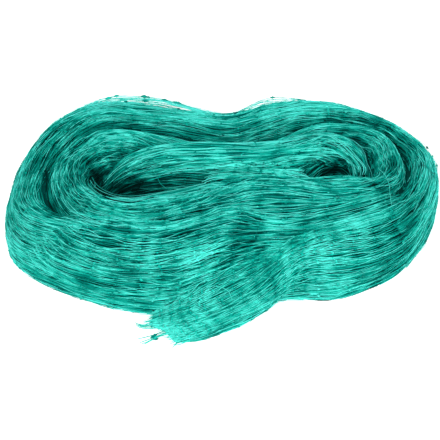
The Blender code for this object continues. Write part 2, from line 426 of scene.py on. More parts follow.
def threadMesh(name, paths, out, keep, radius, tone):
    # closed tubes along the kept runs of each path, all one mesh
    sides = threadSides
    count, length = keep.shape
    joined = keep[:, :-1] & keep[:, 1:]
    used = np.zeros_like(keep)
    used[:, :-1] |= joined
    used[:, 1:] |= joined
    tangent = unit(np.gradient(paths, axis=1))
    side = unit(np.cross(tangent, out))
    lift = np.cross(side, tangent)
    first = np.full(keep.shape, -1)
    first[used] = np.arange(used.sum()) * sides
    turn = 2 * math.pi * np.arange(sides) / sides + math.pi / 2
    ring = (paths[:, :, None] + radius[:, :, None, None]
            * (np.cos(turn)[:, None] * side[:, :, None] + np.sin(turn)[:, None] * lift[:, :, None]))
    places = ring[used].reshape(-1, 3)
    tones = np.repeat(tone[used], sides)
    strand, step = np.nonzero(joined)
    a, b = first[strand, step], first[strand, step + 1]
    ua, ub = step / length, (step + 1) / length
    faces, maps = [], []
    lead, fill = mapStrip
    row = (strand + lead) / count
    for k in range(sides):
        n = (k + 1) % sides
        faces.append(np.stack([a + k, b + k, b + n, a + n], 1))
        low, high = row + fill * k / sides / count, row + fill * (k + 1) / sides / count
        maps.append(np.stack([ua, low, ub, low, ub, high, ua, high], 1))
    sideFaces, sideMaps = np.concatenate(faces), np.concatenate(maps)
    before = np.zeros_like(joined)
    before[:, 1:] = joined[:, :-1]
    after = np.zeros_like(joined)
    after[:, :-1] = joined[:, 1:]
    capFaces, capMaps = [], []
    for ends, order, shift in ((joined & ~before, (0, 1, 2), 0), (joined & ~after, (0, 2, 1), 1)):
        strand, step = np.nonzero(ends)
        at = first[strand, step + shift]
        capFaces.append(at[:, None] + np.array(order))
        u, v = (step + shift) / length, (strand + lead) / count
        wide, high = fill / 2 / length * (1 if shift else -1), fill / count
        capMaps.append(np.stack([u, v, u + wide, v, u + wide, v + high], 1))
    capFaces, capMaps = np.concatenate(capFaces), np.concatenate(capMaps)
    loops = np.concatenate([sideFaces.ravel(), capFaces.ravel()])
    mapPlaces = np.concatenate([sideMaps.reshape(-1, 2), capMaps.reshape(-1, 2)]).clip(0, 1)
    faceSizes = np.concatenate([np.full(len(sideFaces), 4), np.full(len(capFaces), 3)])
    return buildMesh(name, places, loops, faceSizes, mapPlaces, tones)


def knotMesh(name, places, tangent, out, size, tone):
    # one small eight-faced knot at each place, longest along its threads
    side = unit(np.cross(tangent, out))
    lift = np.cross(side, tangent)
    long, wide, high = (size[:, k:k + 1] for k in range(3))
    corners = np.stack([places + tangent * long, places + side * wide, places - tangent * long,
                        places - side * wide, places + lift * high, places - lift * high], 1)
    base = np.arange(len(places))[:, None, None] * 6
    shape = np.array([(0, 1, 4), (1, 2, 4), (2, 3, 4), (3, 0, 4), (1, 0, 5), (2, 1, 5), (3, 2, 5), (0, 3, 5)])
    probe = corners[0]
    a, b, c = probe[shape[0]]
    if np.dot(np.cross(b - a, c - a), a - places[0]) < 0:
        shape = shape[:, ::-1]
    faces = (base + shape[None]).ravel()
    across = int(math.ceil(math.sqrt(len(places))))
    cell = np.stack([np.arange(len(places)) % across, np.arange(len(places)) // across], 1)
    corner = np.tile([(0.1, 0.1), (0.9, 0.1), (0.5, 0.9)], (len(shape), 1))
    mapPlaces = ((cell[:, None] + corner[None]) / across).reshape(-1, 2)
    return buildMesh(name, corners.reshape(-1, 3), faces, np.full(len(places) * len(shape), 3), mapPlaces,
                     np.repeat(tone, 6))


# The finish of the net.
netFinish = {"roughness": 0.42, "specular": 0.07, "sheenOfNet": (0.15, 1.0, 0.92, 1),
             "tones": [(0.0, (0.0, 0.014, 0.012)), (0.28, (0.0, 0.105, 0.088)),
                       (0.58, (0.001, 0.36, 0.285)), (0.8, (0.016, 0.62, 0.5)), (1.0, (0.12, 0.97, 0.86))],
             "unevenness": [(700.0, 0.12), (45.0, 0.12)], "detail": 2.0}  # scale and amount, fine then broad


def netMaterial(name, setup):
    # colour from each thread's own tone, with fine and broad unevenness over it
    material = bpy.data.materials.new(name)
    material.use_nodes = True
    nodes, links = material.node_tree.nodes, material.node_tree.links
    shader = nodes["Principled BSDF"]
    shader.inputs["Roughness"].default_value = setup["roughness"]
    shader.inputs["Specular IOR Level"].default_value = setup["specular"]
    shader.inputs["Specular Tint"].default_value = setup["sheenOfNet"]
    tone = nodes.new("ShaderNodeAttribute")
    tone.attribute_name = "threadTone"
    spot = nodes.new("ShaderNodeTexCoord")
    total = tone.outputs["Fac"]
    for scale, amount in setup["unevenness"]:
        noise = nodes.new("ShaderNodeTexNoise")
        noise.inputs["Scale"].default_value = scale
        noise.inputs["Detail"].default_value = setup["detail"]
        links.new(spot.outputs["Object"], noise.inputs["Vector"])
        level = nodes.new("ShaderNodeMath")
        level.operation = "MULTIPLY_ADD"
        level.inputs[1].default_value = 2 * amount
        level.inputs[2].default_value = -amount
        links.new(noise.outputs["Fac"], level.inputs[0])
        add = nodes.new("ShaderNodeMath")
        links.new(total, add.inputs[0])
        links.new(level.outputs[0], add.inputs[1])
        total = add.outputs[0]
    ramp = nodes.new("ShaderNodeValToRGB")
    stops = ramp.color_ramp.elements
    while len(stops) < len(setup["tones"]):
        stops.new(0.5)
    for stop, (place, colour) in zip(stops, setup["tones"]):
        stop.position = place
        stop.color = (*colour, 1)
    links.new(total, ramp.inputs["Fac"])
    links.new(ramp.outputs["Color"], shader.inputs["Base Color"])
    return material


threadFinish = netMaterial("netThread", netFinish)
coreFinish = netMaterial("netCore", dict(netFinish, roughness=0.7))

# How a net lies on a skin. Sizes are in mm.
netLay = {
    "rowLean": [(0.42, 60, 16), (0.22, 20, 5)],  # how far the rows of knots stray, in rows
    "zig": 0.46,  # how far a thread swings to its neighbours, in threads
    "layers": [  # share of the threads, depth, radius, tone and own sway, steps per row of knots; the tone falls with depth as painted shade, the deep layers darkest
        {"name": "Fine", "threads": 0.3, "depth": -0.35, "radius": 0.15, "tone": 0.97, "sway": 0.9,
         "steps": 4, "knots": False},
        {"name": "Top", "threads": 1, "depth": 0.2, "radius": 0.22, "tone": 0.78, "sway": 0.4,
         "steps": 4, "knots": True},
        {"name": "Middle", "threads": 1, "depth": 0.95, "radius": 0.28, "tone": 0.5, "sway": 0.5,
         "steps": 4, "knots": False},
        {"name": "Deep", "threads": 0.5, "depth": 1.8, "radius": 0.6, "tone": 0.16, "sway": 0.5,
         "steps": 2, "knots": False}],
    "clumps": [  # sideways push, and its cells along and across
        (0.5, 10, 1.4), (0.85, 23, 3.6), (1.35, 46, 9.0), (2.4, 110, 18.0)],
    "lumps": [(0.3, 14, 2.0), (0.55, 60, 8.0)],  # the same, for height
    "ownSway": (24, 1.6),  # cells of the threads' own sway, along and across
    "ownHeight": (0.52, 11),  # how far a thread rises and dips among its neighbours, and how often
    "glint": (0.18, 8),  # how much a thread's tone changes along it, and how often
    "thickness": (0.75, 1.25), "ownTone": 0.15,  # how threads differ
    "crowdReach": 0.4, "crowdLimit": 1.2,  # how crowding is measured
    "gather": 0.55, "gatherTone": 0.12,  # how much higher and paler crowded threads are
    "shadow": 0.5, "openLevel": 0.85,  # painted shade: how much darker where less is open
    "tonePatches": [(0.1, 16, 10), (0.05, 55, 25)],
    "cellTone": (0.13, 15),  # how cells between rows of knots differ, and how wide they are
    "feather": 7.0, "ragged": 14.0,  # how far in from a cover's sides and ends its threads thin out
    "deepShort": 6.0,  # how much sooner a layer ends for each mm of its depth
    "endPast": 1.0, "diveEnds": 10.0, "diveSides": 4.0, "diveMost": 1.5,  # how threads dive there
    "calmFrom": 0.45, "calmOver": 0.15,  # laps where a calm net loses its unevenness
    "meetFrom": 0.9,  # lap where a closed winding starts to turn into its own start
    "buried": 3.4, "floorGap": 0.15,  # threads deeper in the solid or nearer the floor are left out
    "knotShade": 0.13, "knotShadeReach": 0.17,  # darker threads at the rows of knots
    "knot": (1.15, 0.6, 0.5), "knotSizes": (0.7, 1.3),  # half length, breadth and height
    "knotEarly": 0.13, "knotReach": 1.6, "knotLift": 0.2, "knotBuried": 1.8, "knotFloor": 0.8,
    "knotDark": 0.18, "knotTone": 0.1}


def noiseTables(rng, waves, skin):
    tables = []
    for size, along, across in waves:
        cells = max(3, round(skin["length"] / along)), max(3, round(skin["width"] / across))
        tables.append((size, rng.uniform(-1, 1, cells)))
    return tables


def readNoise(tables, lap, share):
    total = 0
    for size, table in tables:
        along, around = table.shape
        x, y = (lap % 1.0) * along, (share % 1.0) * around
        i, j = np.floor(x).astype(int), np.floor(y).astype(int)
        s, t = x - i, y - j
        s, t = s * s * (3 - 2 * s), t * t * (3 - 2 * t)
        i, j = i % along, j % around
        nextI, nextJ = (i + 1) % along, (j + 1) % around
        total = total + size * ((table[i, j] * (1 - t) + table[i, nextJ] * t) * (1 - s)
                                + (table[nextI, j] * (1 - t) + table[nextI, nextJ] * t) * s)
    return total


def shadeAt(shades, places):
    # painted shade and painted highlights as darker and paler patches, each with its place and reach in mm
    total = np.zeros(places.shape[:-1])
    for centre, wide, high, amount in shades:
        away = places - centre
        total += amount * np.exp(-(away[..., 0] / wide) ** 2
                                 - (away[..., 1] ** 2 + away[..., 2] ** 2) / high ** 2)
    return total


def movedBy(slack, places):
    # how far the slack moves each place, in mm
    total = np.zeros(places.shape)
    for centre, wide, high, move in slack:
        total += shadeAt([(centre, wide, high, 1.0)], places)[..., None] * move
    return total


def layNet(name, skin, turns, setup, tree=None, covers=(), shades=(), slack=()):
    # layers of net on a skin: threads that meet their neighbours in turn at rows of knots
    rng = np.random.default_rng(turns["seed"])
    rows, twist, wraps = turns["rows"], turns.get("twist", 0), skin["wraps"]
    length, width = skin["length"], skin["width"]
    startSink, endSink, sideSink = skin["sink"]
    clumps, lumps, lean, patches = (noiseTables(rng, setup[key], skin)
                                    for key in ("clumps", "lumps", "rowLean", "tonePatches"))
    cells = noiseTables(rng, [(setup["cellTone"][0], length / rows, setup["cellTone"][1])], skin)
    limit, step, nudge = setup["crowdLimit"], setup["crowdReach"] / width, 0.001
    made = []
    for layer in setup["layers"]:
        count = int(turns["strands"] * layer["threads"])
        turning = 2 * round(twist * layer["threads"] / 2)
        own = noiseTables(rng, [(layer["sway"], *setup["ownSway"])], skin)
        ownHeight = noiseTables(rng, [(*setup["ownHeight"], width / count)], skin)
        glint = noiseTables(rng, [(*setup["glint"], width / count)], skin)
        offset = rng.uniform(0, 1) if wraps else 0.5
        thickness = rng.uniform(*setup["thickness"], count)
        pale = rng.normal(0, setup["ownTone"], count)
        early = rng.uniform(-setup["knotEarly"], setup["knotEarly"], count)
        apart = rng.uniform(0, setup["feather"], count + 1)
        short = setup["deepShort"] * max(layer["depth"], 0)
        first, last = ((rng.uniform(0, setup["ragged"], count + 1) + short) * (sink > 0)
                       for sink in (startSink, endSink))

        def onward(ways, strand, lap):
            # where a closed winding meets itself, each thread takes on the ways of the one it runs into
            if not skin["closed"]:
                return ways(strand)
            late = np.clip((lap - setup["meetFrom"]) / (1 - setup["meetFrom"]), 0, 1)
            return ways(strand) * (1 - late) + ways((strand + turning) % count) * late

        def where(strand, lap):
            # place, way out, row of knots, tone and presence of a thread at any lap
            whole = strand.astype(int)
            plain = (strand + offset + turning * lap) / count
            row = rows * lap + readNoise(lean, lap, plain)
            lively = 1 - turns.get("calm", 0) * np.clip((lap - setup["calmFrom"]) / setup["calmOver"], 0, 1)
            pushed = lively * readNoise(clumps, lap, plain) + readNoise(own, lap, plain)
            spread = readNoise(clumps[:2], lap, plain + step) - readNoise(clumps[:2], lap, plain - step)
            crowd = np.clip(-lively * spread / (2 * setup["crowdReach"]), -limit, limit)
            share = plain + setup["zig"] * np.cos(math.pi * (row + strand)) / count + pushed / width
            begun, left = lap * length - first[whole], (1 - lap) * length - last[whole]
            down = (layer["depth"] - readNoise(lumps, lap, plain) - setup["gather"] * crowd
                    - lively * onward(lambda thread: readNoise(ownHeight, lap, thread / count), strand, lap))
            for sink, inwards in ((startSink, begun), (endSink, left)):
                down += sink * np.clip(1 - inwards / setup["diveEnds"], 0, setup["diveMost"]) ** 2
            there = (begun > -setup["endPast"]) & (left > -setup["endPast"])
            if not wraps:
                near = np.minimum(share, 1 - share) * width
                down += sideSink * np.clip(1 - near / setup["diveSides"], 0, setup["diveMost"]) ** 2
                there &= (near > apart[whole]) | (sideSink == 0)
            normal = readGrid(skin["out"], lap, share, wraps)
            places = readGrid(skin["places"], lap, share, wraps) - normal * down[..., None]
            places = places + movedBy(slack, places)
            seen = readGrid(skin["sky"], lap, share, wraps)[..., 0]
            # the tone: each layer's own, darker with depth as painted shade, with random patches, cells and
            # glints, paler where crowded, painted shade where less is open, and the painted shade and
            # highlights of the spots
            tone = (layer["tone"] + readNoise(patches, lap, plain) + setup["gatherTone"] * crowd + lively * (
                        readNoise(cells, (row + 0.5) / rows, plain)
                        + onward(lambda thread: readNoise(glint, lap, thread / count), strand, lap))
                    + setup["shadow"] * np.minimum(seen - setup["openLevel"], 0) + shadeAt(shades, places))
            return places, normal, row, tone, there

        def showing(places, keep, buried):
            # true where a place isn't deep in the solid or close under a cover
            if tree is not None:
                give = np.linalg.norm(movedBy(slack, places), axis=-1)
                keep = keep & (depthUnder(tree, places, keep) < buried + give)
            return keep & ~hiddenUnder(covers, places, keep) if covers else keep

        steps = rows * layer["steps"]
        lap = np.linspace(0, 1, steps + 1)[None, :] * np.ones((count, 1))
        strand = np.arange(count)[:, None] * np.ones((1, steps + 1))
        paths, normal, row, tone, there = where(strand, lap)
        keep = showing(paths, there & (paths[:, :, 2] > setup["floorGap"] + layer["radius"]), setup["buried"])
        atKnot = np.abs(row + 0.5 - np.floor(row + 0.5) - 0.5)
        tone = (tone + onward(lambda thread: pale[thread.astype(int)], strand, lap)
                - setup["knotShade"] * np.exp(-(atKnot / setup["knotShadeReach"]) ** 2))
        radius = layer["radius"] * turns.get("thick", 1) * onward(
            lambda thread: thickness[thread.astype(int)], strand, lap)
        if turns.get("fringe") and layer["depth"] < fringeSetup["depth"]:
            paths, normal, keep, radius, tone = runOn(paths, normal, keep, radius, tone, turns["fringe"], rng)
        made.append(threadMesh(name + layer["name"], paths, normal, keep, radius, tone))
        if not layer["knots"]:
            continue
        # knots where thread j meets thread j + 1, on rows of j's own parity
        strand, knotRow = np.meshgrid(np.arange(count if wraps else count - 1), np.arange(rows),
                                      indexing="ij")
        pick = (strand + knotRow) % 2 == 0
        strand, knotRow = strand[pick] + 0.0, knotRow[pick]
        lap = knotRow / rows
        for _ in range(2):
            plain = (strand + offset + turning * lap) / count
            lap = (knotRow + early[strand.astype(int)] - readNoise(lean, lap, plain)) / rows
        good = (lap > 2 * nudge) & (lap < 1 - 2 * nudge)
        strand, lap = strand[good], lap[good]
        here, normal, _, tone, there = where(strand, lap)
        other = where(strand + 1, lap)[0]
        tangent = unit(where(strand, lap + nudge)[0] - here)
        middle = (here + other) / 2 + normal * setup["knotLift"]
        meets = np.linalg.norm(here - other, axis=1) < turns.get("knotReach", setup["knotReach"])
        shown = showing(middle, there & (middle[:, 2] > setup["knotFloor"]) & meets, setup["knotBuried"])
        size = (np.array([setup["knot"]]) * rng.uniform(*setup["knotSizes"], (len(middle), 1))
                * turns.get("knotSize", 1))
        tone = tone - setup["knotDark"] + rng.uniform(-setup["knotTone"], setup["knotTone"], len(middle))
        made.append(knotMesh(name + layer["name"] + "Knots", middle[shown], tangent[shown], normal[shown],
                             size[shown], tone[shown]))
    return [finishPiece(thing, threadFinish) for thing in made]


fringeSetup = {"depth": 0.5, "stray": 0.14, "taper": (0.85, 0.7, 0.5)}  # only layers above that depth


def runOn(paths, normal, keep, radius, tone, fringe, rng):
    # past a cut edge each thread runs on by its own length, drooping to the floor
    extra = len(fringeSetup["taper"])
    length = rng.uniform(0, 1, len(paths)) ** 2 * fringe
    ahead = unit(paths[:, -1] - paths[:, -3])
    ahead += rng.normal(0, fringeSetup["stray"], ahead.shape)
    tips = [paths[:, -1] + ahead * (length * (k + 1) / extra)[:, None] for k in range(extra)]
    paths = np.concatenate([paths, np.stack(tips, 1)], 1)
    paths[:, :, 2] = np.maximum(paths[:, :, 2], floorRest)
    radius = np.concatenate([radius, radius[:, -1:] * np.array([fringeSetup["taper"]])], 1)
    normal, keep, tone = (np.concatenate([values] + [values[:, -1:]] * extra, 1)
                          for values in (normal, keep, tone))
    return paths, normal, keep, radius, tone


coreSetup = {"voxel": 3.0, "smoothing": 3, "drawnIn": 2.0, "tone": 0.1, "slackShare": 1.2,
             "foot": (2.5, 0.2, 2.2),  # how far the foot is let out, how that falls with height, its limit
             "floor": (3.0, 0.4)}  # what is lower than the first is laid at the second


def buildCore(setup, slack):
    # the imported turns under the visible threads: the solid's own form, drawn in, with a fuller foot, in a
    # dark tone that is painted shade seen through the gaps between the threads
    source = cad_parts["hank"]
    core = source.copy()
    core.data = source.data.copy()
    core.name = core.data.name = "hankCore"
    core.parent = None
    for key in list(core.keys()):
        del core[key]
    bpy.context.scene.collection.objects.link(core)
    bpy.ops.object.select_all(action="DESELECT")
    core.select_set(True)
    bpy.context.view_layer.objects.active = core
    bpy.ops.object.mode_set(mode="EDIT")
    bpy.ops.mesh.select_all(action="SELECT")
    bpy.ops.mesh.remove_doubles(threshold=1e-6)
    bpy.ops.object.mode_set(mode="OBJECT")
    for kind, values in (("REMESH", {"mode": "VOXEL", "voxel_size": setup["voxel"] * mm}),
                         ("SMOOTH", {"iterations": setup["smoothing"], "factor": 0.5}),
                         ("DISPLACE", {"strength": -setup["drawnIn"] * mm, "mid_level": 0.0})):
        modifier = core.modifiers.new(kind.lower(), kind)
        for key, value in values.items():
            setattr(modifier, key, value)
        bpy.ops.object.modifier_apply(modifier=modifier.name)
    bpy.ops.object.shade_smooth()
    places = np.array([vertex.co for vertex in core.data.vertices]) / mm
    outward = np.array([vertex.normal for vertex in core.data.vertices]) * (1, 1, 0)
    slackness = setup["slackShare"] * movedBy(slack, places)
    most, fall, limit = setup["foot"]
    places += np.clip(most - fall * places[:, 2:], 0, limit) * outward + slackness
    under, rest = setup["floor"]
    places[places[:, 2] < under, 2] = rest
    core.data.vertices.foreach_set("co", (places * mm).astype(np.float32).ravel())
    # painted shade: the core's dark tone
    shade = core.data.attributes.new("threadTone", "FLOAT", "POINT")
    shade.data.foreach_set("value", np.full(len(core.data.vertices), setup["tone"], np.float32))
    core.data.materials.clear()
    finishPiece(core, coreFinish)
    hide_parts("hank")


hankTree, looseTree = solidTree("hank"), solidTree("loose_end")

# Broad spreads of net over the turns, each through rows of pixels of the square frame.
spreads = {
    "looseFan": {  # the cut end, fanning out of the right-hand turns and down to its ragged tip
        "guides": [
            [(422, 184), (390, 205), (356, 218), (326, 225), (303, 231), (286, 238), (262, 248), (232, 262),
             (204, 277), (184, 291), (167, 302), (152, 309.5)],
            [(424, 192), (396, 213), (362, 226), (330, 233), (305, 241), (286, 250), (266, 263), (238, 279),
             (208, 294), (186, 305), (168, 312), (152, 317.5)],
            [(427, 202), (401, 227), (366, 242), (332, 248), (305, 253), (286, 262), (268, 276), (243, 292),
             (211, 308), (188, 317), (169, 322), (150, 324.5)],
            [(429, 212), (405, 240), (368, 257), (333, 263), (305, 266), (287, 274), (270, 288), (246, 303),
             (216, 317), (193, 325), (177, 329), (164, 331)],
            [(430, 220), (408, 250), (370, 271), (334, 279), (306, 281), (288, 286), (272, 297), (250, 310),
             (221, 323), (199, 332), (185, 336), (172, 339)],
            [(430, 226), (408, 260), (371, 283), (334, 291), (307, 293), (287, 295), (271, 305), (250, 316),
             (225, 328), (204, 336), (190, 341), (178, 344)]],
        "stepsAlong": 12, "stepsAcross": 10, "bridges": 90, "limit": 14.0, "proud": 1.1,
        "sink": (3, 0, 0.8), "strands": 84, "rows": 19, "fringe": 6, "rough": 0.8, "calm": 0.5,
        "seed": 21},
    "frontSpread": {  # the front of the wound turns, drawn into one another
        "guides": [
            [(90, 188), (98, 197), (112, 202), (130, 205), (155, 202), (180, 194), (210, 184), (240, 176),
             (272, 173), (300, 176), (332, 182), (354, 182)],
            [(76, 200), (90, 209), (112, 214), (140, 217), (170, 213), (200, 206), (225, 200), (255, 193),
             (290, 194), (325, 196), (360, 193), (385, 186)],
            [(62, 214), (84, 224), (110, 230), (140, 234), (170, 233), (200, 224), (232, 213), (262, 216),
             (295, 216), (330, 211), (370, 202), (404, 191)],
            [(44, 230), (66, 246), (96, 257), (130, 262), (163, 260), (195, 251), (225, 240), (256, 236),
             (290, 235), (335, 229), (385, 216), (416, 200)],
            [(28, 246), (52, 264), (88, 277), (125, 284), (160, 283), (190, 278), (216, 269), (242, 259),
             (270, 252), (320, 247), (388, 230), (422, 208)],
            [(20, 256), (46, 275), (82, 291), (117, 300), (152, 303), (184, 299), (210, 289), (236, 277),
             (266, 268), (318, 262), (394, 240), (426, 216)]],
        "stepsAlong": 14, "stepsAcross": 12, "bridges": 60, "limit": 7.0, "proud": 0.9,
        "sink": (3, 3, 1.5), "strands": 150, "rows": 17, "rough": 1.2, "seed": 22},
    "leftSpread": {  # the outer and inner turns drawn together round the left-hand end
        "guides": [
            [(140, 112), (104, 114), (77, 126), (58, 142), (46, 158), (36, 176)],
            [(138, 119), (104, 122), (79, 134), (63, 149), (52, 163), (42, 180)],
            [(134, 126), (103, 130), (83, 143), (69, 156), (59, 168), (49, 184)],
            [(130, 133), (104, 138), (88, 151), (76, 163), (67, 174), (57, 189)]],
        "stepsAlong": 12, "stepsAcross": 10, "bridges": 50, "limit": 6.0, "proud": 0.3,
        "sink": (3.0, 3.0, 1.2), "strands": 44, "rows": 6, "rough": 1.0, "seed": 23},
    "seamSpread": {  # between the innermost turn and the front, where they lie close together
        "guides": [
            [(214, 161), (230, 160), (246, 160), (264, 160), (284, 160), (304, 161)],
            [(211, 167), (228, 166), (246, 166), (266, 166), (286, 167), (306, 168)],
            [(207, 173), (226, 172), (246, 172), (268, 172), (290, 173), (312, 175)],
            [(198, 181), (220, 178), (243, 178), (268, 178), (292, 179), (318, 181)],
            [(190, 189), (216, 185), (240, 184), (266, 184), (292, 185), (328, 187)],
            [(188, 197), (214, 193), (240, 191), (266, 190), (294, 191), (334, 193)]],
        "stepsAlong": 10, "stepsAcross": 8, "bridges": 80, "limit": 16.0, "proud": 1.0,
        "sink": (2.5, 2.5, 1.2), "strands": 60, "rows": 8, "rough": 1.1, "thick": 1.2,
        "seed": 24},
    "centreSpread": {  # the innermost turn, out of the left eye, over the middle and round the right eye
        "guides": [
            [(106, 181), (115, 171), (127, 161), (143, 153), (163, 148), (205, 147), (262, 147), (292, 143),
             (318, 139), (336, 141), (350, 151), (360, 163), (361, 175)],
            [(109, 183), (121, 174), (134, 166), (152, 159), (178, 154), (215, 152), (262, 152), (292, 149),
             (316, 147), (333, 149), (346, 156), (355, 165), (357, 175)],
            [(112, 184), (127, 177), (144, 170), (165, 164), (190, 161), (225, 159), (262, 158), (290, 154),
             (312, 153), (329, 154), (341, 158), (349, 164), (353, 174)],
            [(116, 185), (134, 180), (155, 174), (180, 169), (206, 166), (236, 165), (262, 164), (286, 161),
             (305, 159), (321, 159), (333, 161), (342, 165), (348, 171)],
            [(122, 186), (142, 183), (166, 179), (190, 175), (215, 172), (240, 170), (262, 170), (284, 168),
             (298, 167), (310, 166), (320, 167), (329, 168), (337, 170)]],
        "stepsAlong": 10, "stepsAcross": 10, "bridges": 8, "limit": 3.0, "proud": 0.8,
        "sink": (3, 3, 2.0), "strands": 48, "rows": 13, "rough": 1.6, "thick": 1.4,
        "seed": 25}}

shadeSpots = [  # pixel, reach in mm along and across, how much paler or darker: painted shade in the eyes, furrows and hollows, painted highlights where the light catches, and darker bands at rows of knots
    (327, 246, 11, 9, 0.12), (357, 237, 9, 10, 0.14), (147, 257, 8, 9, 0.14), (137, 233, 8, 8, 0.08),
    (202, 255, 12, 7, 0.12), (270, 216, 5, 7, 0.12), (289, 262, 4, 20, 0.13), (247, 314, 10, 6, 0.08),
    (204, 292, 12, 8, 0.12), (178, 334, 26, 9, 0.2), (140, 116, 50, 10, 0.12), (34, 240, 11, 12, 0.16),
    (246, 252, 12, 7, -0.2), (262, 246, 3, 9, -0.22), (293, 240, 6, 5, -0.2), (268, 280, 8, 12, -0.12),
    (171, 272, 3, 13, -0.18), (168, 290, 4, 6, -0.1), (132, 272, 3, 9, -0.14), (339, 250, 2.5, 9, -0.2),
    (377, 232, 4, 10, -0.16), (222, 264, 2.5, 10, -0.18), (161, 220, 6, 5, -0.12),
    (311, 268, 3, 9, -0.14), (304, 222, 5, 6, -0.1), (240, 218, 14, 6, -0.08), (400, 244, 18, 24, -0.18),
    (403, 231, 7, 6, -0.16), (100, 284, 30, 9, -0.15), (76, 156, 16, 20, -0.16), (135, 189, 26, 6, -0.5),
    (97, 177, 8, 6, -0.45), (333, 170, 16, 6, -0.6), (366, 167, 4, 7, -0.35), (192, 181, 10, 7, 0.06),
    (47, 186, 3, 16, -0.3), (56, 208, 5, 7, -0.3), (328, 110, 32, 7, 0.15), (402, 130, 20, 9, 0.2),
    (188, 127, 18, 6, 0.12), (100, 127, 14, 5, -0.24), (128, 172, 9, 6, -0.16), (210, 203, 16, 8, -0.2),
    (205, 218, 12, 6, -0.14), (248, 222, 12, 8, -0.1), (372, 186, 14, 8, -0.28), (388, 172, 6, 8, -0.14),
    (340, 204, 16, 7, -0.12), (198, 249, 10, 6, 0.1), (182, 262, 10, 8, 0.2), (166, 297, 26, 9, 0.17),
    (250, 292, 10, 8, -0.1), (334, 279, 18, 8, 0.2), (38, 262, 12, 8, 0.08), (210, 292, 12, 6, 0.12),
    (234, 277, 10, 6, 0.12), (80, 278, 12, 8, -0.12), (392, 262, 8, 10, -0.12), (376, 278, 10, 6, -0.12),
    (230, 142, 16, 5, 0.12), (275, 134, 15, 10, 0.12), (290, 245, 7, 12, -0.08), (320, 233, 16, 7, -0.2),
    (230, 232, 16, 8, -0.08), (125, 251, 22, 9, 0.18), (162, 249, 12, 8, 0.14), (235, 240, 16, 7, -0.14),
    (345, 263, 22, 15, 0.14), (371, 234, 6, 6, 0.12), (412, 232, 10, 22, -0.2), (280, 218, 10, 5, -0.14),
    (232, 146, 50, 8, 0.1), (176, 158, 16, 7, 0.24), (310, 143, 24, 7, 0.12), (252, 157, 18, 6, 0.07),
    (188, 188, 12, 6, 0.08), (30, 204, 8, 10, -0.1), (38, 246, 12, 9, 0.1), (150, 231, 9, 6, -0.22),
    (230, 306, 10, 7, -0.12), (168, 306, 10, 6, 0.12), (70, 232, 9, 6, -0.22), (200, 235, 150, 50, 0.045),
    (230, 234, 7, 26, -0.12), (245, 264, 22, 7, -0.1), (280, 217, 12, 6, -0.1), (321, 232, 12, 5, -0.1),
    (362, 214, 12, 5, -0.12), (178, 187, 12, 5, 0.14), (428, 222, 7, 16, -0.12), (42, 152, 10, 10, 0.1),
    (340, 187, 24, 5, -0.09), (225, 142, 18, 5, 0.08), (280, 142, 14, 5, 0.1), (92, 217, 22, 5, -0.1),
    (185, 284, 18, 7, -0.09)]
shades = [(drape([(x, y)], [hankTree, looseTree], soften=0)[0], wide, high, amount)
          for x, y, wide, high, amount in shadeSpots]
slackSpots = [  # where the turns are slack and sit back: pixel, reach in mm along and across, the move
    (150, 101, 38, 15, (0, -3.8, -5.0)), (266, 103, 17, 13, (0, -1.6, -2.1)),
    (3, 227, 40, 15, (4.5, 0, 0))]
slack = [(drape([(x, y)], [hankTree], soften=0)[0], wide, high, np.array(move))
         for x, y, wide, high, move in slackSpots]

buildCore(coreSetup, slack)
print("core built")


def rougher(lay, rough):
    # the same lay with its unevenness scaled
    scaled = {key: (lay[key][0] * rough, lay[key][1]) for key in ("ownHeight", "glint", "cellTone")}
    return dict(lay, **scaled, clumps=[(size * rough, *cells) for size, *cells in lay["clumps"]],
                knotShade=lay["knotShade"] * rough)


covers, tops = [], []
for name, spread in spreads.items():
    loose = name == "looseFan"
    skin = coverSkin(spread, [hankTree, looseTree] if loose else [hankTree], [hankTree])
    layNet(name, skin, spread, rougher(netLay, spread["rough"]),
                                 covers=list(covers), shades=shades, slack=slack)
    covers.append(coverTree(skin))
    tops.append(coverTree(skin, 0, 0))
print("spreads laid")

# The wound net.
windingSkins = {}
for name, turns in (("outerTurns", outerTurns), ("innerTurns", innerTurns), ("centreTurn", centreTurn)):
    windingSkins[name] = windingSkin(turns, [hankTree])
    layNet(name, windingSkins[name], turns, netLay, tree=hankTree, covers=covers, shades=shades,
           slack=slack)
print("wound net laid")

# The cut end's own body, under its fan.
looseNet = {
    "strands": 110, "rows": 8, "fringe": 4, "seed": 31, "buried": 0.8,
    "sheet": {"inset": 1.3, "every": 3, "lowest": 0.4, "flat": (0.05, 0.11),
              "pleats": 22, "pleatHeight": 0.7, "pleatTurn": 1.2,
              "tones": (0.32, 0.12, 0.2)}}  # dark all over as painted shade under the threads, paler on the pleat crests and darker in the folds as painted light and shade, and at both ends
